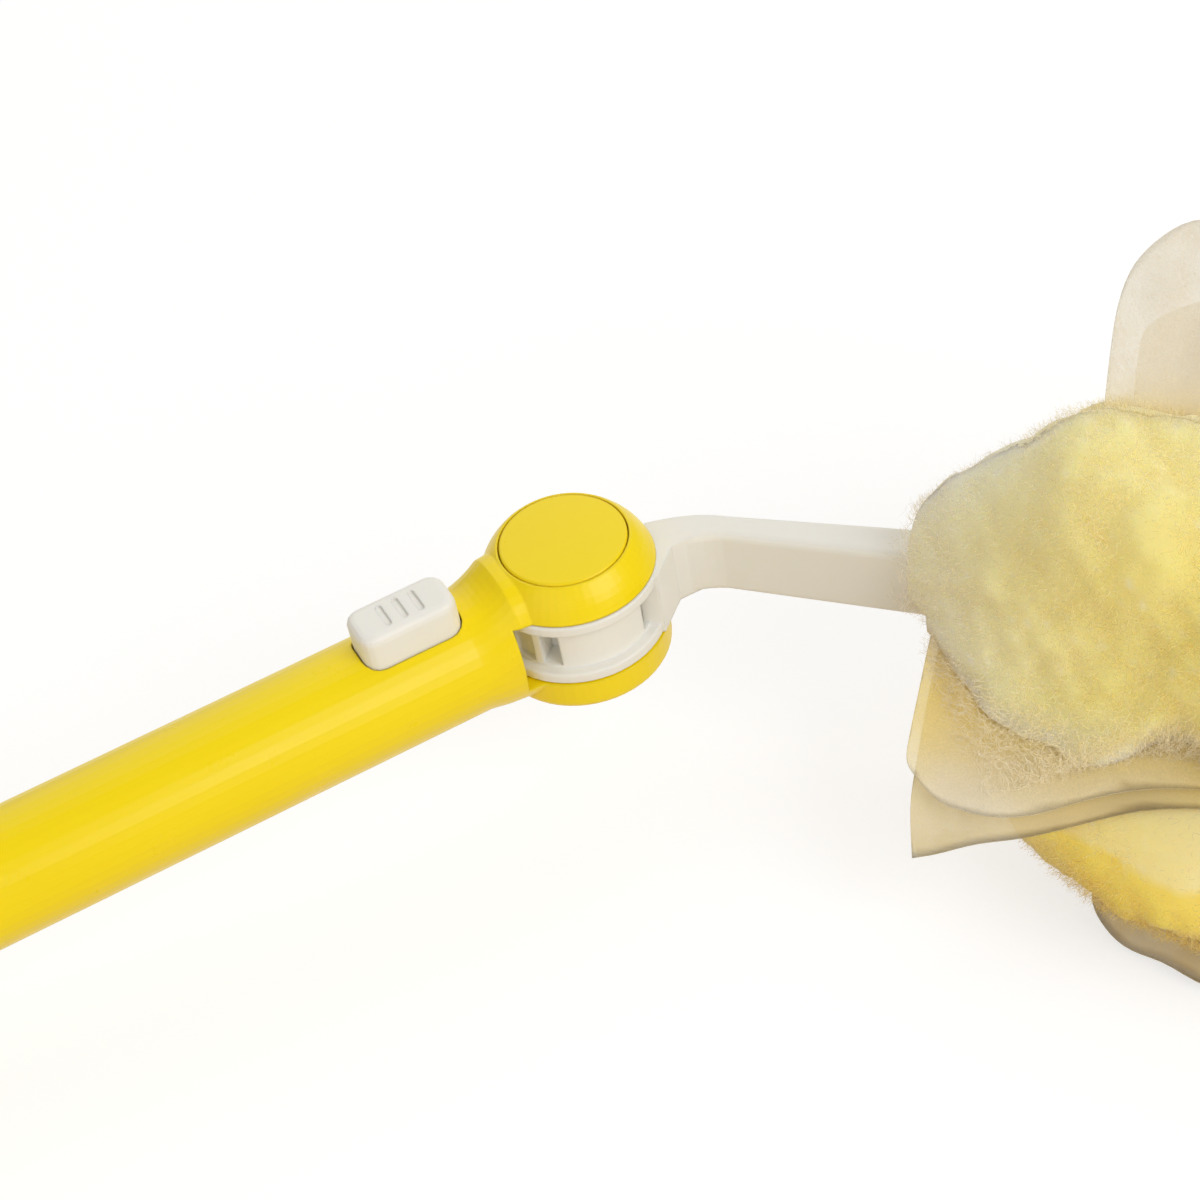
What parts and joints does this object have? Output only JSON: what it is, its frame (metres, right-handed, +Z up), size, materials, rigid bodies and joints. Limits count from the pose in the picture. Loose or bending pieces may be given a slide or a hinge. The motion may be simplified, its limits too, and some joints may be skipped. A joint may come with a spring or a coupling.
{
  "type": "extendable hand duster",
  "caption": "Extendable hand duster with a push-button locked tilting head on a gooseneck arm and a slip-on fibre refill.",
  "frame": {"origin": "middle of the base of the whole part's box, on the table that the duster lies on", "axes": "+X along the handle from its hanging eye towards the head, level; +Z up"},
  "size_m": [0.612, 0.1982, 0.1259],
  "materials": {
    "yellow_plastic": "moulded satin yellow plastic",
    "white_plastic": "moulded warm white plastic",
    "steel": "turned steel",
    "spring_steel": "drawn spring wire",
    "anodised_pipe": "drawn aluminium pipe",
    "nonwoven": "thin translucent non-woven sheet",
    "tow_fibre": "cream and yellow tow fibre"
  },
  "bodies": {
    "front_handle": {"front_tube": "yellow_plastic", "pivot_cap": "yellow_plastic", "pivot_pin": "steel", "pivot_washer": "steel", "retaining_ring": "spring_steel", "pawl_carrier": "white_plastic", "pawl_spring": "spring_steel", "guide_collar": "white_plastic"},
    "button": {"push_button": "white_plastic"},
    "pawl": {"lock_pawl": "white_plastic"},
    "head": {"fork_arm": "white_plastic"},
    "grip": {"telescoping_pipe": "anodised_pipe", "pipe_stop": "white_plastic", "rear_grip": "yellow_plastic", "end_cap": "white_plastic"},
    "refill": {"pocket_sheet_near": "nonwoven", "pocket_sheet_far": "nonwoven", "fibre_lobe_near_top": "tow_fibre", "fibre_lobe_near_middle": "tow_fibre", "fibre_lobe_near_low": "tow_fibre", "fibre_lobe_near_under": "tow_fibre", "fibre_lobe_far_under": "tow_fibre", "fibre_lobe_far_middle": "tow_fibre", "fibre_lobe_far_top": "tow_fibre", "flap_near_outer": "nonwoven", "flap_near_inner": "nonwoven", "flap_near_low": "nonwoven", "flap_far_low": "nonwoven", "flap_far_upper": "nonwoven", "flap_top": "nonwoven"}
  },
  "joints": [
    {"name": "head_tilt", "type": "hinge", "parent": "front_handle", "child": "head", "pos_m": [0.10102, 0.07925, 0.04906], "axis": [-0.0854, -0.0861, 0.9926], "range_deg": [-90, 45]},
    {"name": "button_press", "type": "slide", "parent": "front_handle", "child": "button", "axis": [0.0854, 0.0861, -0.9926], "range_m": [0, 0.003], "stiffness_N_per_m": 600},
    {"name": "pawl_draw", "type": "slide", "parent": "front_handle", "child": "pawl", "axis": [-0.9963, 0, -0.0858], "range_m": [0, 0.003], "deforming": ["pawl_spring"]},
    {"name": "handle_extend", "type": "slide", "parent": "front_handle", "child": "grip", "axis": [-0.9963, 0, -0.0858], "range_m": [0, 0.109]},
    {"name": "refill_pull_off", "type": "slide", "parent": "head", "child": "refill", "axis": [0.7097, -0.7045, 0], "range_m": [0, 0.175]}
  ],
  "couplings": [
    {"joint": "pawl_draw", "follows": "button_press", "ratio": 1}
  ]
}
